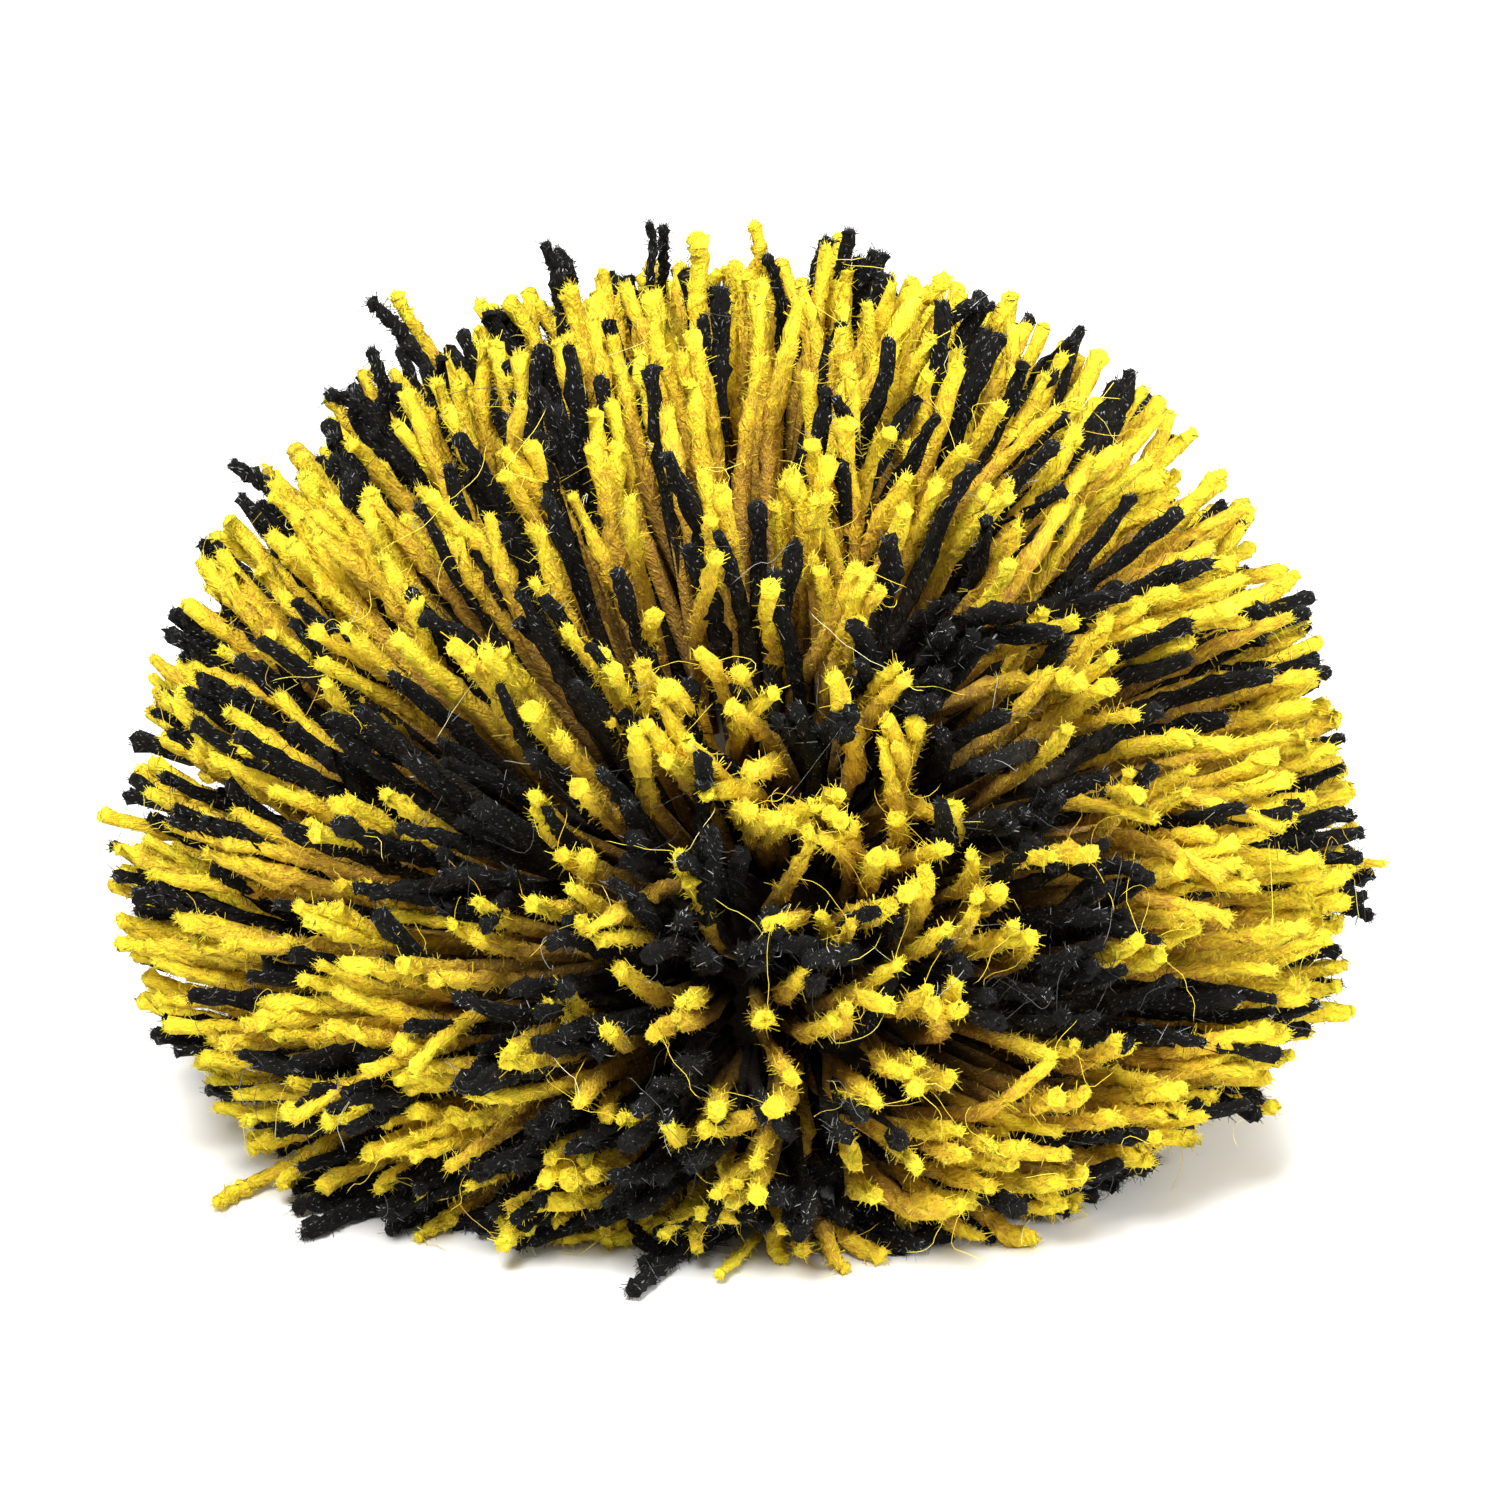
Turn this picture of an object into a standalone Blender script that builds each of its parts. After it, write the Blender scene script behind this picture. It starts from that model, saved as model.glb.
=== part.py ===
"""A yarn pom pom resting on a table, as one solid.

The cut yarns fan out from the tie that binds them in the middle, so the solid has a packed heart
and locks of yarn that stand apart beyond it. The locks below are shorter and end level on the table.
Metres, +Z up, with the front towards -Y and the origin on the table below the middle of the box.
"""

import math
import random

import bmesh
import bpy
from mathutils import Euler, Vector

MM = 0.001

# Driving sizes of the trimmed ball as it sits, in metres
WIDTH = 0.1080  # across its widest level
WIDEST_HEIGHT = 0.021  # of that level above the table
HEIGHT = 0.0785
SHOULDER = 1.9  # 2 for a round shoulder between the top and the widest level, less for a sloping one
FOOT_RADIUS = 0.044  # of the ring where the pile meets the table
TIE = Vector((0.003, -0.004, 0.016))  # the bound middle that every yarn comes from

# Locks: the six sides of a cube wrapped round the ball, with this many square cells across each
LOCKS_ACROSS = 7
CUBE_TILT = Euler((0.55, 0.42, 0.30))  # radians, so that no parting runs level or upright
HEART_SHARE = 0.55  # of a yarn's length, up to where the packed yarns are one mass
CELL_JITTER = 0.30  # of a cell's width
TRIM_JITTER = 0.05  # of a yarn's length
WIDTH_JITTER = 0.10  # of a lock's width
MOST_TURN = 24.0  # degrees that a lock twists, from its root to its end
SIDE_SHARE = 0.28  # of the angles below level: their yarns end on the side, and the rest below
LEVEL_BLEND = 0.4  # of a yarn's length: how far down it heads where its run is all set by the table
FLAT_AIM = 0.28  # of the tie's height, that such a yarn's middle lies at
SEED = 7

# Rings of a lock from its root to its blunt end, as shares of the yarn's length, of the cell's
# width and of the lock's whole twist
LOCK_RINGS = (
    {"length": 0.57, "width": 0.76, "twist": 0.0},
    {"length": 0.79, "width": 0.70, "twist": 0.5},
    {"length": 0.965, "width": 0.64, "twist": 0.9},
    {"length": 1.00, "width": 0.42, "twist": 1.0},
)

# Waves over the pile, by the direction from the tie: its lumps, as a share of a yarn's length,
# and the radians by which it leans about the vertical and away from it
WAVES = (
    {"along": (2.3, 1.1, -0.8), "phase": 0.4, "lump": 0.012, "about": 0.050, "away": 0.020},
    {"along": (-1.4, 2.7, 1.9), "phase": 2.1, "lump": 0.014, "about": -0.040, "away": 0.030},
    {"along": (3.6, -1.7, 2.4), "phase": 4.4, "lump": 0.012, "about": 0.030, "away": -0.030},
    {"along": (-2.9, -3.3, 3.1), "phase": 1.3, "lump": 0.010, "about": 0.025, "away": 0.020},
)

# The bunches that the pile falls into: which way each faces, in degrees round from +X and up from
# level, the point in millimetres that its yarn ends fan out from, and how long it was left
BUNCHES = (
    {"round": 180.0, "up": 55.0, "from": (2.0, 0.0, 14.0), "reach": 1.00},
    {"round": 180.0, "up": 25.0, "from": (0.0, -2.0, 14.0), "reach": 1.03},
    {"round": 330.0, "up": 45.0, "from": (7.0, 0.0, 22.0), "reach": 0.97},
    {"round": 350.0, "up": 12.0, "from": (8.0, -6.0, 22.0), "reach": 1.00},
    {"round": 325.0, "up": -12.0, "from": (10.0, -16.0, 3.0), "reach": 0.97},
    {"round": 275.0, "up": 5.0, "from": (7.0, -18.0, 8.0), "reach": 1.00},
    {"round": 200.0, "up": -5.0, "from": (-3.0, -8.0, 12.0), "reach": 1.01},
    {"round": 90.0, "up": 20.0, "from": (3.0, -2.0, 15.0), "reach": 1.00},
    {"round": 90.0, "up": -80.0, "from": (3.0, -4.0, 16.0), "reach": 1.00},
)
BUNCH_TIGHTNESS = 5.0  # how sharply one bunch gives way to the next

SIDE_RADIUS = WIDTH / 2
CROWN = HEIGHT - WIDEST_HEIGHT  # the upper half-ellipse's height
BELLY = WIDEST_HEIGHT / math.sqrt(1 - (FOOT_RADIUS / SIDE_RADIUS) ** 2)  # the lower one's, uncut
HALVINGS = 40  # enough to find the outline to the last digit


def crown_point(polar):
    """(radius, height) where a straight ray at the tie's height meets the outline, by halving."""
    near, far = 0.0, HEIGHT
    for _ in range(HALVINGS):
        middle = (near + far) / 2
        radius, rise = middle * math.sin(polar), TIE.z + middle * math.cos(polar) - WIDEST_HEIGHT
        reach = CROWN if rise > 0 else BELLY
        curve = SHOULDER if rise > 0 else 2
        inside = (radius / SIDE_RADIUS) ** curve + abs(rise / reach) ** curve < 1
        near, far = (middle, far) if inside else (near, middle)
    return near * math.sin(polar), TIE.z + near * math.cos(polar)


def trimmed_point(polar):
    """(radius, height) on the trimmed ball, at an angle down from straight above the tie.

    Below the tie the table pushes the yarns outwards: down the side first, then in under the ball.
    """
    if polar <= math.pi / 2:
        return crown_point(polar)
    below = polar / (math.pi / 2) - 1
    if below < SIDE_SHARE:
        height = crown_point(math.pi / 2)[1] * (1 - below / SIDE_SHARE)
        return SIDE_RADIUS * math.sqrt(1 - ((WIDEST_HEIGHT - height) / BELLY) ** 2), height
    return FOOT_RADIUS * (1 - below) / (1 - SIDE_SHARE), 0.0


def bunch_at(facing):
    """(point that the yarn ends facing this way fan out from, their reach)."""
    total, origin, reach = 0.0, Vector(), 0.0
    for bunch in BUNCHES:
        turn, rise = math.radians(bunch["round"]), math.radians(bunch["up"])
        level = math.cos(rise)
        aim = Vector((math.cos(turn) * level, math.sin(turn) * level, math.sin(rise)))
        weight = math.exp(BUNCH_TIGHTNESS * (aim.dot(facing) - 1))
        total += weight
        origin += weight * Vector(bunch["from"]) * MM
        reach += weight * bunch["reach"]
    return origin / total, reach / total


def yarn_point(direction, share, trim=1.0):
    """The point at a share of the length of the yarn that leaves the tie in this direction."""
    polar = math.acos(max(-1.0, min(1.0, direction.z)))
    turn = math.atan2(direction.y, direction.x)
    origin, lump = bunch_at(direction)
    level = math.sin(polar)
    for wave in WAVES:
        height = math.sin(direction.dot(Vector(wave["along"])) + wave["phase"])
        lump += wave["lump"] * height
        polar += wave["away"] * height * level
        turn += wave["about"] * height
    radius, height = trimmed_point(polar)
    end = Vector((radius * math.cos(turn), radius * math.sin(turn), height))
    if height > 0:
        end = TIE + (end - TIE) * lump * trim
        end.z = max(end.z, 0.0)
    back = (origin - end).normalized()
    middle = end + back * (end - TIE).length / 2
    below = min(1.0, max(0.0, -direction.z / LEVEL_BLEND))
    middle.z += below * (FLAT_AIM * TIE.z - middle.z)
    return TIE * (1 - share) ** 2 + middle * 2 * share * (1 - share) + end * share**2


def even_direction(corner):
    """A point of the cube from -1 to 1 as a direction, with the cells kept nearly the same size."""
    return Vector([math.tan(side * math.pi / 4) for side in corner]).normalized()


def lock_ring(corners, centre, width, turn):
    """The directions of a lock's corners: its cell's, drawn in towards the middle and turned."""
    ring = []
    for corner in corners:
        offset = (corner - centre) * width
        offset = offset * math.cos(turn) + centre.cross(offset) * math.sin(turn)
        ring.append((centre + offset).normalized())
    return ring


def centre_on_origin(mesh):
    """Shifts the mesh level, so that its box stands evenly about the origin."""
    for axis in (0, 1):
        reach = [vert.co[axis] for vert in mesh.verts]
        shift = (min(reach) + max(reach)) / 2
        for vert in mesh.verts:
            vert.co[axis] -= shift


def make_pompom(name):
    mesh = bmesh.new()
    bmesh.ops.create_cube(mesh, size=2.0)
    bmesh.ops.subdivide_edges(mesh, edges=mesh.edges[:], cuts=LOCKS_ACROSS - 1, use_grid_fill=True)
    cell_angle = math.pi / 2 / LOCKS_ACROSS
    chance = random.Random(SEED)
    for vert in mesh.verts:
        nudge = Vector([chance.uniform(-1, 1) for _ in range(3)]) * CELL_JITTER * cell_angle
        vert.co = (even_direction(vert.co) + nudge).normalized()
        vert.co.rotate(CUBE_TILT)

    for cell in mesh.faces[:]:
        corners = [vert.co.copy() for vert in cell.verts]
        centre = sum(corners, Vector()).normalized()
        trim = 1 + chance.uniform(-TRIM_JITTER, TRIM_JITTER)
        girth = 1 + chance.uniform(-WIDTH_JITTER, WIDTH_JITTER)
        turn = math.radians(chance.uniform(-MOST_TURN, MOST_TURN))
        face = cell
        for ring in LOCK_RINGS:
            face = bmesh.ops.extrude_discrete_faces(mesh, faces=[face])["faces"][0]
            directions = lock_ring(corners, centre, ring["width"] * girth, ring["twist"] * turn)
            for vert, direction in zip(face.verts, directions):
                vert.co = yarn_point(direction, ring["length"], trim)
                vert.tag = True
    for vert in mesh.verts:
        if not vert.tag:
            vert.co = yarn_point(vert.co.copy(), HEART_SHARE)
    centre_on_origin(mesh)

    data = bpy.data.meshes.new(name)
    mesh.to_mesh(data)
    mesh.free()
    return bpy.data.objects.new(name, data)


def yarn_material():
    material = bpy.data.materials.new("yellow_and_black_yarn")
    material.use_nodes = True
    shader = material.node_tree.nodes["Principled BSDF"]
    shader.inputs["Base Color"].default_value = (0.85, 0.62, 0.03, 1.0)
    shader.inputs["Roughness"].default_value = 0.9
    shader.inputs["Metallic"].default_value = 0.0
    return material


def main():
    for obj in list(bpy.data.objects):
        bpy.data.objects.remove(obj)
    collection = bpy.data.collections.new("yarn_pom_pom")
    bpy.context.scene.collection.children.link(collection)
    pompom = make_pompom("yarn_pompom")
    pompom.data.materials.append(yarn_material())
    collection.objects.link(pompom)


main()
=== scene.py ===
"""A pom pom of yellow and black yarn, resting on a pale table.

Every yarn is its own soft tube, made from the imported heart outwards: it heads away from the tie in
the middle, bows on its way and ends blunt and frayed where the ball was trimmed. Short fibres stand
off the yarns, and long ones stray over the pile. Metres, +Z up, with the front towards -Y.
"""

import math

import bpy
import numpy as np
from mathutils import Matrix, Vector


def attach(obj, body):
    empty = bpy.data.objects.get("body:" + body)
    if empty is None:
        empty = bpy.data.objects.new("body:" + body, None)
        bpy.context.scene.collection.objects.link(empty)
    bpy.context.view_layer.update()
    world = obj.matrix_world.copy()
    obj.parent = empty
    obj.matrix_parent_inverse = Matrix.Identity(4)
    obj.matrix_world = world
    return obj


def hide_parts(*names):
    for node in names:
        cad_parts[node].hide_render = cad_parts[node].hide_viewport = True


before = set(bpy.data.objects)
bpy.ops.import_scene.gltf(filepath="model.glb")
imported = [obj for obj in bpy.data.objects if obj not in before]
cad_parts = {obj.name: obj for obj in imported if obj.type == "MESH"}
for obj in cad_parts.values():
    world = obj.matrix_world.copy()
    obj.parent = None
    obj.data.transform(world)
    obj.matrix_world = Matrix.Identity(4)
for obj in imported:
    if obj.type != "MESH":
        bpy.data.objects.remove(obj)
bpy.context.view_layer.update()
NODE = "yarn_pompom"


def rows_of(columns, *rows):
    """A table's rows, each with its values under the names of the columns."""
    return [dict(zip(columns, row)) for row in rows]


MM = 0.001
PI = math.pi
LEAST_LENGTH = 1e-12  # that a vector is divided by

# The numbers that the random draws start from
SEED = 20
CLUMP_SEED = SEED + 1
STRAND_SEED = SEED + 5
PIECE_SEED = SEED + 50
HAIR_SEEDS = {"yellow": SEED + 70, "black": SEED + 80}
HEART_SEED = 5

# The trimmed ball as it sits, with the solid's sizes, but for a slightly narrower foot
WIDTH = 0.1080  # across its widest level
WIDEST_HEIGHT = 0.021  # of that level above the table
HEIGHT = 0.0785
SHOULDER = 1.9  # 2 for a round shoulder between the top and the widest level, less for a sloping one
FOOT_RADIUS = 0.042  # of the ring where the pile meets the table
TIE = np.array((0.003, -0.004, 0.016))  # the bound middle that every yarn comes from
SHIFT = np.array((-0.00105, -0.00087, 0.0))  # from this outline to the solid's place
SIDE_SHARE = 0.28  # of the angles below level: their yarns end on the side, and the rest below
LEVEL_FROM = 0.30  # the downward part of a direction past which the table sets a yarn's run
LEVEL_BLEND = 0.25  # of the downward part, over which it comes to set all of it
FLAT_AIM = 0.28  # of the tie's height, that such a yarn's middle lies at
FLOOR_AIM = 0.001  # the least height of the middle of a yarn's curve
LEAST_FALL = 1e-6  # of a direction, for the way to the table
LEAST_BEND = 0.4  # of half a yarn's length: the least from its end to its curve's middle
HALVINGS = 40  # enough to find the outline to the last digit
OUTLINE_STEPS = 1441  # from straight above the tie to straight below, to spread the yarns evenly
SIDE_RADIUS = WIDTH / 2
CROWN = HEIGHT - WIDEST_HEIGHT  # the upper half-ellipse's height
BELLY = WIDEST_HEIGHT / math.sqrt(1 - (FOOT_RADIUS / SIDE_RADIUS) ** 2)  # the lower one's, uncut

# Waves over the pile, by the direction from the tie: its lumps, as a share of a yarn's length, and
# the radians by which it leans about the vertical and away from it
WAVES = rows_of(
    ("along", "phase", "lump", "about", "away"),
    ((2.3, 1.1, -0.8), 0.4, 0.012, 0.050, 0.020),
    ((-1.4, 2.7, 1.9), 2.1, 0.014, -0.040, 0.030),
    ((3.6, -1.7, 2.4), 4.4, 0.012, 0.030, -0.030),
    ((-2.9, -3.3, 3.1), 1.3, 0.010, 0.025, 0.020),
)

# The bunches that the pile falls into: which way each faces, in degrees round from +X and up from
# level, the point in millimetres that its yarn ends fan out from, how long it was left, how far
# astray its yarns start in millimetres, and the share of its yarns that are left in
BUNCHES = rows_of(
    ("round", "up", "from", "reach", "ruffle", "full"),
    (272, 62, (-3, -23, 32), 1, 4, 0.62),
    (315, 58, (12, -17, 50), 1, 3, 0.62),
    (341, 38, (9, -11, 42), 1, 3, 0.62),
    (305, 45, (11, -17, 44), 1, 6, 0.72),
    (310, 29, (2, -19, 33), 1, 6, 0.72),
    (336, 17, (-13, -9, 17), 1, 3, 0.72),
    (337, 2, (-4, -9, 3), 1.02, 3, 0.72),
    (292, 27, (8, 36, -2), 1, 6, 1),
    (280, 34, (20, -20, 28), 1, 7, 0.72),
    (260, 25, (6, 36, -4), 1, 6, 1),
    (267, 6, (7, 30, -11), 1, 5, 1),
    (284, 10, (7, 30, -11), 1, 5, 1),
    (301, 7, (17, -20, 5), 1, 5, 1),
    (291, -12, (3, -28, 0), 0.96, 5, 1),
    (295, -25, (5, -36, 0), 0.94, 3, 1),
    (318, -12, (9, -24, 2), 1, 3, 1),
    (262, -9, (3, -20, 4.5), 0.98, 3, 1),
    (247, -2, (5, -12, 14), 0.98, 3, 1),
    (254, -24, (1, -22, 1), 0.98, 3, 1),
    (225, -5, (1, -13, 11), 1, 3, 0.72),
    (203, 1, (1, -8, -5), 1.01, 3, 0.72),
    (236, 19, (1, -19, 22), 1, 3, 0.72),
    (218, 33, (1, -15, 12), 1.01, 3, 0.62),
    (204, 46, (3, -11, -18), 1, 4, 0.62),
    (248, 39, (3, -19, -7), 1, 5, 0.72),
    (90, 15, (3, -2, 15), 1, 7, 0.72),
    (140, 35, (2, 0, 12), 1, 5, 0.62),
    (40, 35, (4, 0, 18), 1, 5, 0.62),
    (90, -80, (3, -4, 16), 1, 3, 0.62),
    (20, 70, (6, 0, 22), 0.94, 6, 0.62),
    (180, 40, (2, 0, 10), 1.03, 4, 0.62),
    (5, 20, (5, 0, 18), 0.96, 4, 0.62),
    (237, -19, (0, -10, 2), 1, 3, 1),
)
BUNCH_TIGHTNESS = 14.0  # how sharply one bunch gives way to the next

# Where one colour gathers: which way, in degrees round from +X and up from level, over how many
# degrees, and how strongly yellow (above 0) or black (below 0) it is
PATCHES = rows_of(
    ("round", "up", "spread", "yellow"),
    (296, 42, 8, -1.2),
    (243, 32, 9, -1.4),
    (215, 68, 6, -1.0),
    (326, 46, 8, -0.8),
    (328, 0, 9, -0.8),
    (268, 54, 6, -0.8),
    (221, 54, 5, -0.8),
    (218, 25, 6, -0.8),
    (305, 25, 7, -0.6),
    (335, 60, 6, -1.6),
    (266, 21, 9, -1.2),
    (297, 15, 5, -1.0),
    (226, 4, 7, -0.7),
    (264, -8, 6, -0.9),
    (306, -14, 10, -0.3),
    (193, 26, 5, 1.0),
    (205, 59, 10, 1.4),
    (246, 52, 5, 0.9),
    (300, 84, 14, 1.4),
    (290, 68, 12, 0.6),
    (346, 47, 9, 1.2),
    (320, 37, 5, 1.0),
    (254, 41, 5, 0.8),
    (276, 35, 7, 0.7),
    (241, 19, 5, 1.5),
    (286, 5, 9, 0.6),
    (286, -13, 5, 0.8),
)
PILE_TONES = rows_of(  # random fields that set the colour beside those, by direction
    ("weight", "size", "seed"),
    (0.10, 0.60, 31),
    (0.20, 0.20, 32),
    (0.65, 0.09, 33),
)
COLOUR_CHANCE = 0.75  # the weight of chance from yarn to yarn
FIELD_WAVES = 9
FIELD_PITCH = (0.35, 0.75)  # of a whole wave to each lump's size

# Yarns that lie loose on the table or stand out of the pile: how thick beside the others, and the
# points that they run through, in millimetres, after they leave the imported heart
STRANDS = rows_of(
    ("colour", "thick", "points"),
    ("yellow", 0.8, ((-35, -24, 4), (-42, -26, 1), (-45, -30, 1))),
    ("black", 1.0, ((-23, -25, 6), (-30, -26, 3), (-35, -26, 2), (-38, -27, 1))),
    ("black", 1.1, ((-20, -27, 5), (-27, -29, 2), (-34, -29, 1), (-38, -31, 1))),
    ("black", 1.1, ((-16, -27, 5), (-25, -29, 1), (-33, -32, 1), (-37, -36, 1))),
    ("black", 1.1, ((-15, -27, 5), (-18, -31, 1), (-22, -34, 1), (-27, -33, 1))),
    ("yellow", 0.7, ((-11, -29, 5), (-13, -32, 1), (-16, -38, 1), (-12, -37, 1), (-8, -36, 2))),
    ("black", 1.1, ((-9, -31, 5), (-9, -37, 1), (-5, -40, 1), (-1, -37, 2))),
    ("black", 1.0, ((0, -34, 4), (-4, -39, 2), (-7, -43, 1), (-9, -48, 1))),
    ("black", 1.0, ((-3, -34, 4), (-5, -38, 1), (-8, -43, 1))),
    ("yellow", 0.6, ((4, -31, 4), (2, -35, 1), (0, -40, 1), (-2, -45, 1))),
    ("black", 1.0, ((4, -32, 7), (5, -35, 3), (7, -39, 1))),
    ("black", 1.1, ((8, -32, 5), (9, -36, 1), (13, -39, 1), (17, -36, 1), (20, -33, 3))),
    ("black", 1.0, ((8, -32, 6), (11, -34, 3), (15, -34, 2), (19, -33, 1))),
    ("yellow", 1.1, ((5, -32, 7), (0, -35, 4), (-5, -37, 2), (-10, -36, 1))),
    ("black", 0.8, ((-15, 1, 67), (-16, 0, 74), (-17, 0, 77))),
    ("black", 0.7, ((-14, 2, 67), (-15, 2, 74), (-16, 2, 76))),
    ("black", 0.5, ((-8, 0, 68), (-8, 0, 75), (-8, 0, 79))),
    ("black", 0.6, ((-7, 2, 68), (-7, 2, 75), (-7, 2, 78))),
    ("yellow", 1.1, ((-4, 0, 67), (-4, 0, 74), (-4, 0, 78))),
    ("yellow", 0.8, ((0, 3, 67), (1, 3, 74), (1, 3, 78))),
    ("black", 0.6, ((3, 0, 67), (3, 0, 73), (2, 0, 76))),
    ("black", 0.8, ((5, 2, 66), (6, 2, 73), (7, 2, 77))),
    ("black", 0.8, ((6, 0, 67), (8, 0, 74), (9, 0, 78))),
    ("black", 0.8, ((7, 3, 66), (8, 3, 72), (10, 3, 75))),
    ("black", 0.8, ((8, 1, 67), (10, 1, 73), (11, 1, 76))),
    ("black", 0.8, ((9, 4, 66), (10, 4, 72), (12, 4, 75))),
    ("black", 1.0, ((10, 0, 65), (11, 0, 71), (12, 0, 74))),
    ("black", 1.0, ((-2, -14, 63), (-2, -10, 71), (-2, -8, 75))),
    ("black", 0.8, ((-27, 0, 65), (-30, 0, 70), (-32, 0, 72))),
    ("yellow", 0.8, ((-26, 2, 65), (-29, 2, 70), (-30, 2, 72))),
    ("black", 0.8, ((-30, -2, 60), (-31, -2, 65), (-32, -2, 68))),
    ("black", 0.7, ((-32, 0, 59), (-34, 0, 63), (-36, 0, 64))),
    ("black", 0.8, ((-18, 0, 64), (-20, 0, 70), (-21, 0, 71))),
    ("black", 0.8, ((16, 0, 67), (18, 0, 71), (21, 0, 72))),
    ("yellow", 1.0, ((12, 0, 66), (15, 0, 72), (17, 0, 74))),
    ("yellow", 0.5, ((47, -4, 21), (52, -4, 22), (56, -4, 22))),
    ("black", 0.8, ((47, -2, 18), (52, -2, 19), (55, -2, 20))),
    ("black", 0.8, ((46, -6, 20), (51, -6, 19), (55, -6, 18))),
    ("black", 0.9, ((-38, -2, 52), (-41, -2, 56), (-44, -2, 58))),
)
STRAND_RINGS = 24
STRAND_ROOT = 0.5  # where one starts, as a share of the way from the tie to its first point
STRAND_SHARE = 0.82  # the depth that its start is coloured for, as a share of a yarn's length
STRAND_BENDS = (60, 110)  # radians of sway to a yarn's length
STRAND_CALM = 3  # times steadier than a yarn of the pile
STRAND_FLUFF = 2  # times the fibres of a yarn

# Yarns of the pile. A share is of a yarn's length from the tie, and a pair after one is where a
# change starts and over how much of the length it goes on.
YARNS_TO_THIN = 3260  # before the bunches that are less full lose some
UNDERSIDE_SHARE = 0.45  # of the yarns to each area that the sides have
GOLDEN_TURN = 3 - math.sqrt(5)  # half turns from one yarn to the next
TURN_JITTER = 0.022  # radians
PLACE_JITTER = 0.0008  # of a yarn's end
LONGEST = 1.015  # of the trimmed ball's reach
TRIM_SPREAD = 0.050  # how far yarns fall short of it
MISSED = 0.03  # of the yarns, those that the trimming missed
MISSED_REACH = 0.04  # of a yarn's length, that they stand out by at most
MISSED_SPREAD = (0.3, 1.0)  # of that
ROOT_SHARE = 0.40  # where the part that is made starts
SHOWN_SHARE = 0.79  # past this a yarn may show, and is finely made
HIDDEN_RINGS = 2
SHOWN_RINGS = 8
SIDES = 5
YARN_RADIUS = 0.00079
ROOT_RADIUS = 0.00064
FILLING = (0.40, 0.35)  # where it thickens from the one radius to the other
FULLNESS = (0.86, 1.14)  # how thick a yarn is beside the others
END_TAPER = (0.0, 0.35)  # of its radius, that a yarn narrows by before its cut end
TAPERING = (0.92, 0.08)
WOBBLE = 0.0005
WOBBLE_BENDS = (6, 16)  # radians of sway to a yarn's length
TIP_BEND = 0.0008
BENDING = (0.70, 0.30)  # where a yarn bends towards its tip
TIDY_RUFFLE = 3 * MM  # of the tidiest bunches, whose tips bend by TIP_BEND
WAYWARD = 0.16  # of the yarns, those that go their own way
WAYWARD_TIMES = 2.0  # times as far astray as the others
CLUMP_PULL = 0.0019  # how far yarn ends lean together into clumps
CLUMP_SIZE = 0.0085
YELLOW_SHARE = 0.63
TONE_SPREAD = 0.22
FLOOR_GAP = 0.00005  # under all that lies on the table

# The fluffy skin of a yarn, as shares of its radius
LUMP = 0.10
TUFT_CHANCE = 0.30
TUFT_REACH = (0.10, 0.35)
TUFT_SLIDE = 0.22
END_RINGS = rows_of(("on", "width"), (0.30, 0.92), (0.62, 0.73), (0.84, 0.42))  # beyond its last
END_ON_SPREAD = (0.8, 1.2)
END_TIP = 0.96
END_RAGGED = 0.15
END_SLIDE = 0.8  # of the slide of the rings before
RING_ROLL = 0.4  # of half a side, by which a ring is turned at random

# Straight fibres run right through a yarn, so that both of their ends stand off it: how many on
# each yarn, how many of those at its cut end, and how far their ends stand off and how thick they
# are in millimetres
FUZZ = rows_of(
    ("name", "per_yarn", "at_end", "length", "thick"),
    ("shag", 35, 14, 0.40, 0.076),
    ("fluff", 31, 11, 0.62, 0.056),
)
FUZZ_LEAN = 0.8  # how far they lean along the yarn, beside how far they stand out
FUZZ_ASIDE = 0.8  # of the radius, by which they pass beside the yarn's middle at most
FUZZ_EVENNESS, FUZZ_LIMITS = 5, (0.4, 2.0)  # of their lengths, and how far those go from the mean
FUZZ_THICKNESS = (0.7, 1.3)
# Those at a cut end start inside it and point forward
END_LEAN = (0.4, 1.6)  # the least, and how much more by chance
END_DEPTH = 0.8  # of the radius, after which they stand off
END_FORWARD = 0.3  # of the radius
END_STAND = 0.6  # of the length that the others stand off
END_FOOT = 0.5  # of END_DEPTH, how far they reach back past the middle
END_THICK = 0.75  # of the others' thickness
FIBRE_SPREAD = 0.72  # below 1, more of the fibres are towards the cut end
LAST_PLACE = 0.999  # of the way along a yarn, for a fibre at its end
UNDERSIDE_EACH = 8  # of the fibres on a yarn that ends on the table, one in this many is made
OWN_TONE = 0.25  # of its yarn's tone, that a fibre takes on
FIBRE_TONES = (0.0, 0.85)  # and what chance adds to that

# Fibres that curl off a yarn, in millimetres
CURLS = {"per_yarn": 1, "length": 1.30, "radius": 0.026}
CURL_ROOT = 0.88  # of the yarn's radius
CURL_BEND = (0.2, 0.9)  # of its length
CURL_EVENNESS, CURL_LIMITS = 6, (0.5, 1.9)

# Long hairs that stray over the pile
HAIRS = {"yellow": 650, "black": 300}
HAIR_RINGS = 10
HAIR_ROOTS = 3  # the last rings of a yarn, one of which its hair leaves
HAIR_RADIUS = 0.000027
HAIR_STEP = (0.35, 0.90)  # millimetres from ring to ring
HAIR_RISE = (-0.8, 2.2)  # millimetres above where the hair leaves its yarn, that it keeps to
HAIR_TURN = {"first": 0.40, "kept": 0.55, "new": 0.38, "swing": 0.35}  # from ring to ring
HAIR_RETURN = 0.35  # of how far it has strayed from its height, that it makes up in a step
HAIR_LOWEST = 0.0002

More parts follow.
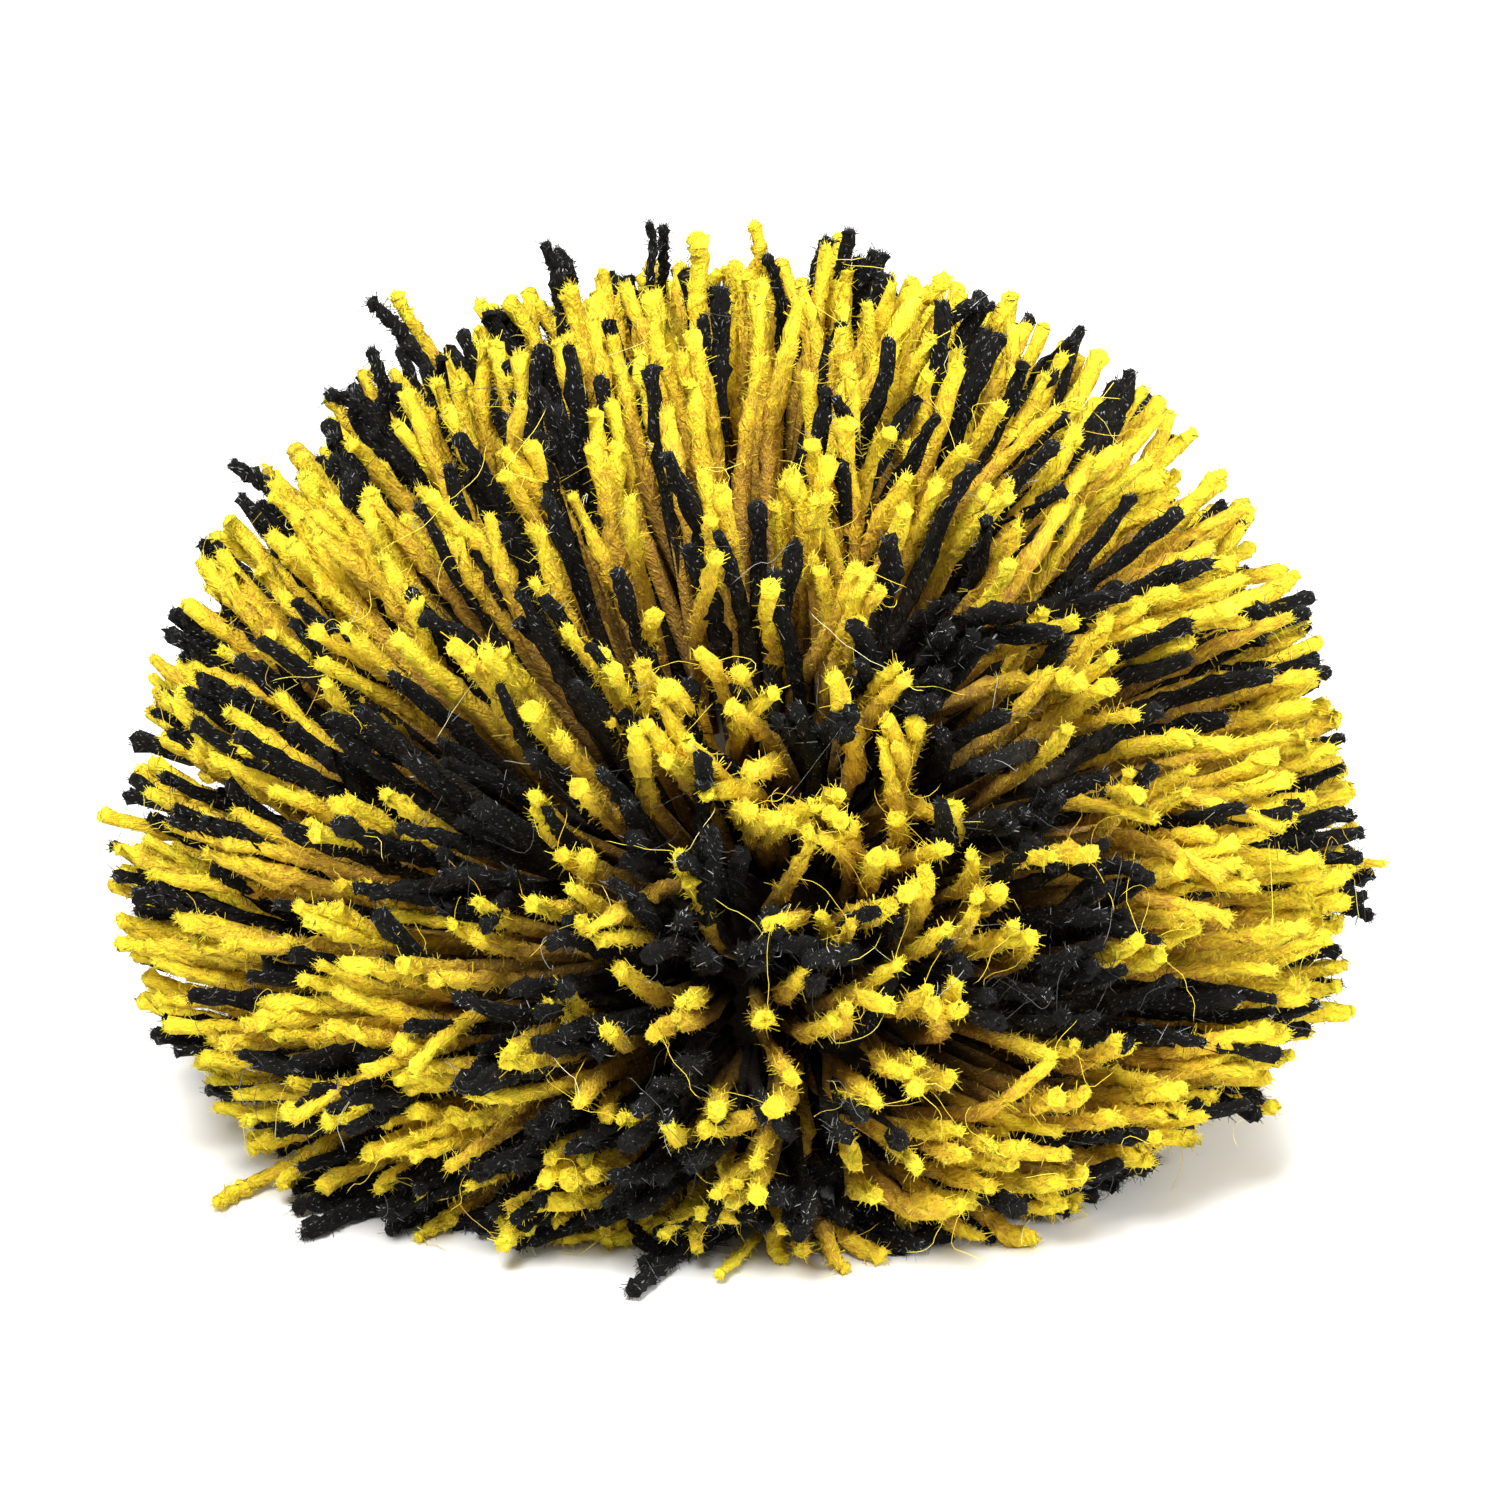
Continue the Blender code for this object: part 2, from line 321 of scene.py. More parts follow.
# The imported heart
HEART_COLUMNS, HEART_ROWS = 64, 32
HEART_POLE = 0.02  # radians from the vertical to its first row
HEART_SHARE = ROOT_SHARE + 0.03
HEART_LUMP = 0.0006
HEART_LUMP_SIZE = 0.004
HEART_LOWEST = 0.0008

# The pile is made in three parts, by the height of the yarn ends
CROWN_ABOVE = 0.046
SKIRT_BELOW = 0.018


# ---- where each yarn goes

def unit(vectors):
    return vectors / np.maximum(np.linalg.norm(vectors, axis=-1, keepdims=True), LEAST_LENGTH)


def square_to(aims, chance):
    """A unit vector square to each of these, turned at random."""
    return unit(np.cross(aims, unit(chance.normal(size=aims.shape))))


def climb(value, start, run):
    """0 up to the start, 1 from the end of the run on, and even between."""
    return np.clip((value - start) / run, 0, 1)


def crown_points(polar):
    """Level radius and height where rays from the axis, at the tie's height, meet the outline."""
    near, far = np.zeros_like(polar), np.full_like(polar, HEIGHT)
    for _ in range(HALVINGS):
        middle = (near + far) / 2
        radius = middle * np.sin(polar)
        rise = TIE[2] + middle * np.cos(polar) - WIDEST_HEIGHT
        reach = np.where(rise > 0, CROWN, BELLY)
        curve = np.where(rise > 0, SHOULDER, 2.0)
        inside = (radius / SIDE_RADIUS) ** curve + np.abs(rise / reach) ** curve < 1
        near = np.where(inside, middle, near)
        far = np.where(inside, far, middle)
    return near * np.sin(polar), TIE[2] + near * np.cos(polar)


def trimmed_points(polar):
    """Level radius and height on the trimmed ball, at angles down from straight above the tie."""
    radius, height = crown_points(np.minimum(polar, PI / 2))
    below = polar / (PI / 2) - 1
    side_height = np.maximum(height * (1 - np.maximum(below, 0) / SIDE_SHARE), 0)
    side_radius = SIDE_RADIUS * np.sqrt(1 - ((WIDEST_HEIGHT - side_height) / BELLY) ** 2)
    under_radius = FOOT_RADIUS * (1 - below) / (1 - SIDE_SHARE)
    under = below >= SIDE_SHARE
    radius = np.where(below <= 0, radius, np.where(under, under_radius, side_radius))
    height = np.where(below <= 0, height, np.where(under, 0.0, side_height))
    return radius, height


def facing(row):
    """The direction that a table's row gives in degrees."""
    turn, rise = math.radians(row["round"]), math.radians(row["up"])
    return np.array((math.cos(turn) * math.cos(rise), math.sin(turn) * math.cos(rise), math.sin(rise)))


def bunch_at(directions):
    """Where yarns facing these ways fan out from, their reach and ruffle, and the share left in."""
    total, reach, ruffle, full = (np.zeros(len(directions)) for _ in range(4))
    origin = np.zeros((len(directions), 3))
    for bunch in BUNCHES:
        weight = np.exp(BUNCH_TIGHTNESS * (directions @ facing(bunch) - 1))
        total += weight
        origin += weight[:, None] * np.array(bunch["from"]) * MM
        reach += weight * bunch["reach"]
        ruffle += weight * bunch["ruffle"] * MM
        full += weight * bunch["full"]
    return origin / total[:, None], reach / total, ruffle / total, full / total


def yarn_ends(directions, trim, astray=0.0):
    """End points and the curves' middle control points of yarns leaving the tie these ways."""
    polar = np.arccos(np.clip(directions[:, 2], -1, 1))
    turn = np.arctan2(directions[:, 1], directions[:, 0])
    origin, lump, ruffle, _ = bunch_at(directions)
    origin = origin + astray * ruffle[:, None]
    level = np.sin(polar)
    for wave in WAVES:
        height = np.sin(directions @ np.array(wave["along"]) + wave["phase"])
        lump = lump + wave["lump"] * height
        polar = polar + wave["away"] * height * level
        turn = turn + wave["about"] * height
    radius, height = trimmed_points(polar)
    end = np.stack((radius * np.cos(turn), radius * np.sin(turn), height), axis=1)
    end = TIE * (1, 1, 0) + (end - TIE * (1, 1, 0)) * (lump * trim)[:, None]
    end[:, 2] = np.where(height > 0, TIE[2] + (height - TIE[2]) * lump * trim, 0.0)
    end[:, 2] = np.maximum(end[:, 2], 0)
    back = unit(origin - end)
    length = np.linalg.norm(end - TIE, axis=1) / 2
    to_floor = np.maximum(end[:, 2] - FLOOR_AIM, 0) / np.maximum(-back[:, 2], LEAST_FALL)
    middle = end + back * np.minimum(length, np.maximum(to_floor, length * LEAST_BEND))[:, None]
    middle[:, 2] = np.maximum(middle[:, 2], FLOOR_AIM)
    below = climb(-directions[:, 2], LEVEL_FROM, LEVEL_BLEND)
    middle[:, 2] += below * (FLAT_AIM * TIE[2] - middle[:, 2])
    return end, middle


def along_yarns(middle, end, share):
    """The points at a share of the way along yarns from the tie."""
    return TIE * (1 - share) ** 2 + middle * 2 * share * (1 - share) + end * share ** 2


def directions_at(polar, turn):
    """Directions at these angles down from straight up, and round from +X."""
    return np.stack((np.sin(polar) * np.cos(turn), np.sin(polar) * np.sin(turn), np.cos(polar)), axis=1)


def even_directions(count):
    """Directions whose yarn ends are spread evenly over the trimmed ball, fewer below."""
    polar = np.linspace(0, PI, OUTLINE_STEPS)
    radius, height = trimmed_points(polar)
    step = np.hypot(np.diff(radius), np.diff(height))
    area = (radius[1:] + radius[:-1]) * PI * step
    area = np.where((height[1:] + height[:-1]) <= 0, area * UNDERSIDE_SHARE, area)
    filled = np.concatenate(((0,), np.cumsum(area)))
    share = (np.arange(count) + 0.5) / count
    angle = np.interp(share * filled[-1], filled, polar)
    return directions_at(angle, np.arange(count) * PI * GOLDEN_TURN)


def field(points, size, seed):
    """A smooth random height at each point, of about 1 up or down, with lumps of this size."""
    chance = np.random.default_rng(seed)
    total = np.zeros(len(points))
    for _ in range(FIELD_WAVES):
        aim = unit(chance.normal(size=3))
        pitch = 2 * PI / size * chance.uniform(*FIELD_PITCH)
        total += np.sin(points @ aim * pitch + chance.uniform(0, 2 * PI))
    return total / math.sqrt(FIELD_WAVES / 2)


def tones(count, chance):
    """How light or dark each yarn is, from 0 to 1."""
    return np.clip(0.5 + TONE_SPREAD * chance.normal(size=count), 0, 1)


def clumped(end, out, chance):
    """The yarn ends, leaning together into clumps and each a little out of place."""
    push = [field(end, CLUMP_SIZE, CLUMP_SEED + axis) for axis in range(3)]
    push = np.stack(push, axis=1) * CLUMP_PULL
    push += chance.normal(size=end.shape) * PLACE_JITTER
    push -= out * np.sum(push * out, axis=1)[:, None]
    end = end + push
    end[:, 2] = np.maximum(end[:, 2], YARN_RADIUS)
    return end


def sway(path, share, out, untidy, chance):
    """Moves the rings of each yarn aside in long waves, and bends its tip."""
    count = len(path)
    across = square_to(out, chance)
    for side in (across, np.cross(out, across)):
        phase = chance.uniform(0, 2 * PI, size=(count, 1))
        bends = chance.uniform(*WOBBLE_BENDS, size=(count, 1))
        size = chance.normal(size=(count, 1)) * WOBBLE
        wave = np.sin(bends * share + phase) * (share - ROOT_SHARE) / (1 - ROOT_SHARE) * size
        path += wave[:, :, None] * side[:, None]
        hook = climb(share, *BENDING) ** 2 * chance.normal(size=(count, 1)) * TIP_BEND * untidy
        path += hook[:, :, None] * side[:, None]


def yarn_radii(share, count, chance):
    """The radius of each yarn at each of its rings."""
    fullness = chance.uniform(*FULLNESS, size=(count, 1))
    radius = (ROOT_RADIUS + (YARN_RADIUS - ROOT_RADIUS) * climb(share, *FILLING)) * fullness
    taper = chance.uniform(*END_TAPER, size=(count, 1))
    return radius * (1 - taper * climb(share, *TAPERING))


def yellow_ones(directions, chance):
    """Which yarns are yellow. The others are black."""
    score = sum(row["weight"] * field(directions, row["size"], row["seed"]) for row in PILE_TONES)
    score += COLOUR_CHANCE * chance.normal(size=len(directions))
    for patch in PATCHES:
        gap = np.degrees(np.arccos(np.clip(directions @ facing(patch), -1, 1)))
        score += patch["yellow"] * np.exp(-(gap / patch["spread"]) ** 2)
    return score > np.quantile(score, 1 - YELLOW_SHARE)


def plan_yarns():
    """The path, radius, colour and tone of every yarn, and which ones end on the table."""
    chance = np.random.default_rng(SEED)
    directions = even_directions(YARNS_TO_THIN)
    directions = directions[chance.uniform(size=YARNS_TO_THIN) < bunch_at(directions)[3]]
    count = len(directions)
    directions = unit(directions + chance.normal(size=directions.shape) * TURN_JITTER)
    trim = LONGEST - np.abs(chance.normal(size=count)) * TRIM_SPREAD
    missed = chance.uniform(size=count) < MISSED
    trim += missed * chance.uniform(*MISSED_SPREAD, size=count) * MISSED_REACH
    astray = np.where(chance.uniform(size=(count, 1)) < WAYWARD, WAYWARD_TIMES, 1.0)
    end, middle = yarn_ends(directions, trim, astray * chance.normal(size=directions.shape))
    untidy = astray * bunch_at(directions)[2][:, None] / TIDY_RUFFLE
    out = unit(end - TIE)
    end = clumped(end, out, chance)

    share = np.concatenate((np.linspace(ROOT_SHARE, SHOWN_SHARE, HIDDEN_RINGS, endpoint=False),
                            np.linspace(SHOWN_SHARE, 1, SHOWN_RINGS)))
    path = along_yarns(middle[:, None], end[:, None], share[None, :, None])
    sway(path, share, out, untidy, chance)
    radius = yarn_radii(share, count, chance)
    path[:, :, 2] = np.maximum(path[:, :, 2], radius)
    return {"path": path + SHIFT, "radius": radius, "share": share,
            "yellow": yellow_ones(directions, chance), "tone": tones(count, chance),
            "under": directions[:, 2] < -math.sin(SIDE_SHARE * PI / 2)}


def smooth_through(points, count):
    """A smooth curve of this many points through the given ones."""
    ends = np.concatenate((points[:1] * 2 - points[1:2], points, points[-1:] * 2 - points[-2:-1]))
    place = np.linspace(0, len(points) - 1, count)
    low = np.minimum(place.astype(int), len(points) - 2)
    t = (place - low)[:, None]
    a, b, c, d = (ends[low + step] for step in range(4))
    return (2 * b + (c - a) * t + (2 * a - 5 * b + 4 * c - d) * t ** 2
            + (3 * b - a - 3 * c + d) * t ** 3) / 2


def plan_strands():
    """The stray yarns, in the same form as the others."""
    chance = np.random.default_rng(STRAND_SEED)
    tie = TIE + SHIFT
    path = []
    for strand in STRANDS:
        points = np.array(strand["points"], float) * MM
        root = tie + (points[0] - tie) * STRAND_ROOT
        path.append(smooth_through(np.concatenate((root[None], points)), STRAND_RINGS))
    path = np.array(path)
    count = len(path)
    share = np.linspace(STRAND_SHARE, 1, STRAND_RINGS)
    for axis in range(3):
        phase = chance.uniform(0, 2 * PI, size=(count, 1))
        bends = chance.uniform(*STRAND_BENDS, size=(count, 1))
        size = chance.normal(size=(count, 1))
        path[:, :, axis] += np.sin(bends * share + phase) * size * WOBBLE / STRAND_CALM
    thick = np.array([strand["thick"] for strand in STRANDS])
    radius = np.repeat((thick * YARN_RADIUS)[:, None], STRAND_RINGS, axis=1)
    path[:, :, 2] = np.maximum(path[:, :, 2], radius)
    yellow = np.array([strand["colour"] == "yellow" for strand in STRANDS])
    return {"path": path, "radius": radius, "share": share, "yellow": yellow,
            "tone": tones(count, chance), "under": np.zeros(count, bool)}


# ---- meshes

def link_object(name, data):
    item = bpy.data.objects.new(name, data)
    bpy.context.scene.collection.objects.link(item)
    return item


def finish_piece(piece, look, kind):
    piece.data.materials.append(look[kind])
    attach(piece, "root")
    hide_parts(NODE)


def frames_along(path, tip, roll):
    """Two unit vectors square to each tube at each of its rings."""
    spine = np.concatenate((path, tip[:, None]), axis=1)
    steps = unit(np.diff(spine, axis=1))
    tangent = steps.copy()
    tangent[:, 1:] = unit(steps[:, 1:] + steps[:, :-1])
    whole = unit(tip - path[:, 0])
    guide = np.eye(3)[np.argmin(np.abs(whole), axis=1)][:, None]
    across = unit(np.cross(tangent, guide))
    over = np.cross(tangent, across)
    cos, sin = np.cos(roll)[..., None], np.sin(roll)[..., None]
    return across * cos + over * sin, over * cos - across * sin


def tube_faces(rings, sides):
    """One tube's faces: quads between its rings, a fan to its tip point and a flat base."""
    faces = []
    for ring in range(rings - 1):
        for side in range(sides):
            a, b = ring * sides + side, ring * sides + (side + 1) % sides
            faces.append((a, b, b + sides, a + sides))
    last = (rings - 1) * sides
    for side in range(sides):
        faces.append((last + side, last + (side + 1) % sides, rings * sides))
    faces.append(tuple(reversed(range(sides))))
    return faces


NEEDLE_FACES = ((1, 0, 2), (0, 1, 3), (3, 2, 0), (2, 3, 1))  # two points at each of its ends
UV_PER_METRE = 100


def wind_uv(piece, path, faces, corner, sides):
    """The UV map "wound": turns round each tube across, and centimetres along it up."""
    count, rings = path.shape[:2]
    steps = np.linalg.norm(np.diff(path, axis=1), axis=2)
    length = np.concatenate((np.zeros((count, 1)), np.cumsum(steps, axis=1)), axis=1)
    along = np.concatenate((np.repeat(length, sides, axis=1), length[:, -1:]), axis=1)
    turn = np.concatenate((np.tile(np.arange(sides), rings), (0,)))[corner] / sides
    start = 0
    for face in faces:
        part = turn[start:start + len(face)]
        if len(face) != sides and part.max() - part.min() > 0.5:
            turn[start:start + len(face)] = np.where(part < 0.25, part + 1, part)
        start += len(face)
    uv = np.empty((count, len(corner), 2), np.float32)
    uv[:, :, 0] = turn
    uv[:, :, 1] = along[:, corner] * UV_PER_METRE
    layer = piece.data.uv_layers.new(name="wound")
    layer.uv.foreach_set("vector", uv.ravel())


def make_tubes(name, path, radius, tip, roll, sides, lumps=None, slide=None, share=None, tone=None):
    """All these tubes as one mesh, each closed by a flat base and a tip point."""
    count, rings = radius.shape
    across, over = frames_along(path, tip, roll)
    angle = np.arange(sides) * 2 * PI / sides
    spoke = across[:, :, None] * np.cos(angle)[:, None] + over[:, :, None] * np.sin(angle)[:, None]
    reach = radius[:, :, None] * (1 if lumps is None else 1 + lumps)
    rim = path[:, :, None] + spoke * reach[..., None]
    if slide is not None:
        rim += np.cross(across, over)[:, :, None] * (slide * radius[:, :, None])[..., None]
    points = np.concatenate((rim.reshape(count, -1, 3), tip[:, None]), axis=1)
    faces = tube_faces(rings, sides)
    piece, corner = joined_mesh(name, points, faces, share, tone)
    wind_uv(piece, path, faces, corner, sides)
    return piece


def joined_mesh(name, points, faces, share, tone):
    """Many bodies with the same faces as one mesh, and which point each corner of one body uses."""
    count, size = points.shape[:2]
    points[..., 2] = np.maximum(points[..., 2], FLOOR_GAP)
    totals = np.array([len(face) for face in faces])
    corner = np.concatenate([np.array(face) for face in faces])
    corners = (corner[None] + np.arange(count)[:, None] * size).ravel()
    totals = np.tile(totals, count)
    starts = np.concatenate(((0,), np.cumsum(totals)[:-1]))

    mesh = bpy.data.meshes.new(name)
    mesh.vertices.add(count * size)
    mesh.vertices.foreach_set("co", points.astype(np.float32).ravel())
    mesh.loops.add(len(corners))
    mesh.loops.foreach_set("vertex_index", corners.astype(np.int32))
    mesh.polygons.add(len(totals))
    mesh.polygons.foreach_set("loop_start", starts.astype(np.int32))
    mesh.polygons.foreach_set("loop_total", totals.astype(np.int32))
    mesh.update(calc_edges=True)
    mesh.shade_smooth()

    for label, values in (("share", share), ("tone", tone)):
        attribute = mesh.attributes.new(label, "FLOAT", "POINT")
        if values is None:
            values = np.full((count, size), 1.0)
        elif values.ndim == 1:
            values = np.repeat(values[:, None], size, axis=1)
        attribute.data.foreach_set("value", values.astype(np.float32).ravel())
    return link_object(name, mesh), corner


def make_yarns(name, yarns, chosen, look, seed):
    """The chosen yarns, each a tufted tube with a rounded, ragged end."""
    chance = np.random.default_rng(seed)
    path, radius = yarns["path"][chosen], yarns["radius"][chosen]
    count, added = len(path), len(END_RINGS)
    heading = unit(path[:, -1] - path[:, -2])
    last, full = path[:, -1], radius[:, -1:]
    for ring in END_RINGS:
        on = full * ring["on"] * chance.uniform(*END_ON_SPREAD, size=(count, 1))
        path = np.concatenate((path, (last + heading * on)[:, None]), axis=1)
        radius = np.concatenate((radius, full * ring["width"]), axis=1)
    tip = last + heading * full * END_TIP
    lumps = chance.normal(size=(*radius.shape, SIDES)) * LUMP
    lumps += chance.normal(size=(*radius.shape, 1)) * LUMP
    tufted = chance.uniform(size=lumps.shape) < TUFT_CHANCE
    lumps += tufted * chance.uniform(*TUFT_REACH, size=lumps.shape)
    slide = chance.normal(size=lumps.shape) * TUFT_SLIDE
    lumps[:, -added:] += chance.normal(size=(count, added, SIDES)) * END_RAGGED
    slide[:, -added:] *= END_SLIDE
    half_side = PI / SIDES
    roll = chance.uniform(0, 2 * PI, size=(count, 1)) + np.arange(radius.shape[1]) * half_side
    roll += chance.uniform(-RING_ROLL, RING_ROLL, size=roll.shape) * half_side
    share = np.concatenate((yarns["share"], (1.0,) * added))
    share = np.tile(np.concatenate((np.repeat(share, SIDES), (1.0,))), (count, 1))
    piece = make_tubes(name, path, radius, tip, roll, SIDES, lumps, slide, share, yarns["tone"][chosen])
    finish_piece(piece, look, "yarn")


def spots_on(yarns, chosen, per_yarn, at_end, chance):
    """Places along the shown lengths of the chosen yarns, for so many fibres on each."""
    path, radius = yarns["path"][chosen, HIDDEN_RINGS - 1:], yarns["radius"][chosen, HIDDEN_RINGS - 1:]
    last = radius.shape[1] - 1
    number = np.tile(np.arange(per_yarn), len(path))
    which = np.repeat(np.arange(len(path)), per_yarn)
    kept = ~yarns["under"][chosen][which] | (number % UNDERSIDE_EACH == 0)
    number, which = number[kept], which[kept]
    total = len(which)
    at_end = number < at_end
    place = np.where(at_end, 1.0, chance.uniform(size=total) ** FIBRE_SPREAD)
    place = np.minimum(place, LAST_PLACE) * last
    low = place.astype(int)
    part = (place - low)[:, None]
    centre = path[which, low] * (1 - part) + path[which, low + 1] * part
    heading = unit(path[which, low + 1] - path[which, low])
    out = square_to(heading, chance)
    tone = yarns["tone"][chosen][which] * OWN_TONE + chance.uniform(*FIBRE_TONES, size=total)
    return {"centre": centre, "heading": heading, "out": out, "radius": radius[which, low + 1],
            "tone": np.clip(tone, 0, 1), "share": SHOWN_SHARE + (1 - SHOWN_SHARE) * place / last,
            "at_end": at_end}


def varied(evenness, limits, size, chance):
    """Random multiples of about 1, within these limits."""
    return chance.gamma(evenness, 1 / evenness, size=size).clip(*limits)


def make_fuzz(name, yarns, chosen, kind, look, seed, times):
    """Straight fibres through the chosen yarns, that stand off on both sides."""
    chance = np.random.default_rng(seed)
    spots = spots_on(yarns, chosen, kind["per_yarn"] * times, kind["at_end"] * times, chance)
    heading, out, full, at_end = spots["heading"], spots["out"], spots["radius"], spots["at_end"]
    total = len(full)
    end_lean = END_LEAN[0] + np.abs(chance.normal(size=total)) * END_LEAN[1]
    lean = np.where(at_end, end_lean, chance.normal(size=total) * FUZZ_LEAN)
    aside = chance.uniform(-FUZZ_ASIDE, FUZZ_ASIDE, size=total)
    aim = unit(out + heading * lean[:, None])
    half = full * np.sqrt(1 - aside ** 2) * np.where(at_end, END_DEPTH, np.sqrt(1 + lean ** 2))
    middle = spots["centre"] + np.cross(heading, out) * (full * aside)[:, None]
    middle += heading * (full * at_end * chance.uniform(0, END_FORWARD, size=total))[:, None]
    stand = kind["length"] * MM * varied(FUZZ_EVENNESS, FUZZ_LIMITS, (total, 2), chance)
    stand *= np.where(at_end, END_STAND, 1.0)[:, None]
    head = middle + aim * (half + stand[:, 0])[:, None]
    foot = middle - aim * np.where(at_end, half * END_FOOT, half + stand[:, 1])[:, None]
    across = square_to(aim, chance)
    half_thick = kind["thick"] * MM / 2 * chance.uniform(*FUZZ_THICKNESS, size=(total, 1))
    half_thick *= np.where(at_end, END_THICK, 1.0)[:, None]
    a, b = across * half_thick, np.cross(aim, across) * half_thick
    points = np.stack((head + a, head - a, foot + b, foot - b), axis=1)
    piece, _ = joined_mesh(name, points, NEEDLE_FACES, spots["share"], spots["tone"])
    finish_piece(piece, look, "fluff")


def make_curls(name, yarns, chosen, look, seed, times):
    """Thin fibres that curl off the chosen yarns."""
    chance = np.random.default_rng(seed)
    spots = spots_on(yarns, chosen, CURLS["per_yarn"] * times, 0, chance)
    total = len(spots["radius"])
    aim = unit(spots["out"] + spots["heading"] * chance.normal(size=total)[:, None])
    root = spots["centre"] + spots["out"] * (spots["radius"] * CURL_ROOT)[:, None]
    length = CURLS["length"] * MM * varied(CURL_EVENNESS, CURL_LIMITS, (total, 1), chance)
    bend = square_to(aim, chance) * chance.uniform(*CURL_BEND, size=(total, 1))
    fibre = np.stack((root, root + aim * length * 0.5), axis=1)
    tip = root + (aim + bend) * length
    width = np.full(fibre.shape[:2], CURLS["radius"] * MM)
    piece = make_tubes(name, fibre, width, tip, np.zeros_like(width), 3,
                       share=spots["share"], tone=spots["tone"])
    finish_piece(piece, look, "fibre")


def make_hairs(name, yarns, chosen, look, seed, count):
    """Long fibres that curl over the pile."""
    chance = np.random.default_rng(seed)
    which = chance.choice(np.nonzero(chosen & ~yarns["under"])[0], count)
    start = yarns["path"][which, -1 - chance.integers(0, HAIR_ROOTS, size=count)]
    centre = TIE + SHIFT
    out = unit(start - centre)
    reach = np.linalg.norm(start - centre, axis=1) + chance.uniform(*HAIR_RISE, size=count) * MM
    aim = square_to(out, chance)
    step = chance.uniform(*HAIR_STEP, size=count) * MM
    turn_axis = unit(chance.normal(size=start.shape))
    turn = chance.normal(size=count) * HAIR_TURN["first"]
    path = [start + out * YARN_RADIUS]
    for _ in range(HAIR_RINGS):
        turn = turn * HAIR_TURN["kept"] + chance.normal(size=count) * HAIR_TURN["new"]
        turn_axis = unit(turn_axis + chance.normal(size=start.shape) * HAIR_TURN["swing"])
        aim = unit(aim + np.cross(turn_axis, aim) * turn[:, None])
        ahead = path[-1] + aim * step[:, None]
        away = unit(ahead - centre)
        strayed = np.linalg.norm(ahead - centre, axis=1) - reach
        ahead -= away * (strayed * HAIR_RETURN)[:, None]
        ahead[:, 2] = np.maximum(ahead[:, 2], HAIR_LOWEST)
        path.append(ahead)
    path = np.stack(path, axis=1)
    radius = np.full((count, HAIR_RINGS), HAIR_RADIUS)
    piece = make_tubes(name, path[:, :-1], radius, path[:, -1], np.zeros((count, HAIR_RINGS)), 3,
                       tone=chance.uniform(size=count))
    finish_piece(piece, look, "fibre")


def make_heart(name, look):
    """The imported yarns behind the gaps, where they are one mass."""
    columns, rows = HEART_COLUMNS, HEART_ROWS
    polar = np.repeat(np.linspace(HEART_POLE, PI - HEART_POLE, rows), columns)
    turn = np.tile(np.arange(columns) * 2 * PI / columns, rows)
    end, middle = yarn_ends(directions_at(polar, turn), np.ones(rows * columns))
    points = along_yarns(middle, end, HEART_SHARE)
    lump = field(points, HEART_LUMP_SIZE, HEART_SEED)[:, None] * HEART_LUMP
    points = points + unit(points - TIE) * lump + SHIFT
    points[:, 2] = np.maximum(points[:, 2], HEART_LOWEST)
    faces = []
    for row in range(rows - 1):
        for column in range(columns):
            a, b = row * columns + column, row * columns + (column + 1) % columns
            faces.append((a, a + columns, b + columns, b))
    faces.append(tuple(range(columns)))
    faces.append(tuple(reversed(range((rows - 1) * columns, rows * columns))))
    mesh = bpy.data.meshes.new(name)
    mesh.from_pydata(points.tolist(), [], faces)
    mesh.update()
    mesh.shade_smooth()
    finish_piece(link_object(name, mesh), look, "yarn")


def by_colour(planned):
    return (("yellow", planned["yellow"]), ("black", ~planned["yellow"]))


def make_pile(yarns, strands, looks):
    """Every yarn with its fibres, in one piece for each part of the pile, colour and kind."""
    height = yarns["path"][:, -1, 2]
    crown, skirt = height > CROWN_ABOVE, height < SKIRT_BELOW
    everything = np.ones(len(STRANDS), bool)
    parts = (("crown", yarns, crown, 1), ("sides", yarns, ~crown & ~skirt, 1), ("skirt", yarns, skirt, 1),
             ("strays", strands, everything, STRAND_FLUFF))
    seed = PIECE_SEED
    for part, planned, chosen, times in parts:
        for colour, picked in by_colour(planned):
            look, picked = looks[colour], chosen & picked
            seed += 1
            make_yarns(f"{colour}_yarns_{part}", planned, picked, look, seed)
            for kind in FUZZ:
                seed += 1
                make_fuzz(f"{colour}_{kind['name']}_{part}", planned, picked, kind, look, seed, times)
            seed += 1
            make_curls(f"{colour}_curls_{part}", planned, picked, look, seed, times)


# ---- materials

def rgb(red, green, blue):
    return (red, green, blue, 1.0)


# Ramps of colour: place, red, green, blue. A yarn's runs by depth, from the imported heart at 0 to its
# cut end at 1, as painted shading, and a loose fibre's by its tone, its last stops painted glints.
# The light end of the ramps by depth is a painted highlight on the cut ends.
HEADROOM = 0.06  # left at the light end of the ramps by depth, for the lightest fibres of a cut end
# Yellow by depth: painted shade turns it brown deep in the pile, and a painted highlight pales its cut
# end.
YELLOW_PAINTED_SHADING_BY_DEPTH = (
    (0.54, 0.34, 0.180, 0.045),
    (0.68, 0.57, 0.310, 0.045),
    (0.77, 0.78, 0.47, 0.040),
    (0.86, 0.94, 0.66, 0.036),
    (0.93, 0.98, 0.75, 0.030),
    (1.00, 1.0, 0.86, 0.055),
)
# Black by depth: browner and lighter deep in the pile, a painted glow of light bounced off the yellow
# yarns, and lighter again at its cut end as a painted highlight.
BLACK_PAINTED_SHADING_BY_DEPTH = (
    (0.54, 0.060, 0.046, 0.030),
    (0.76, 0.011, 0.009, 0.006),
    (0.87, 0.0042, 0.0036, 0.0029),
    (0.95, 0.0055, 0.0049, 0.0041),
    (1.00, 0.011, 0.0099, 0.0085),
)
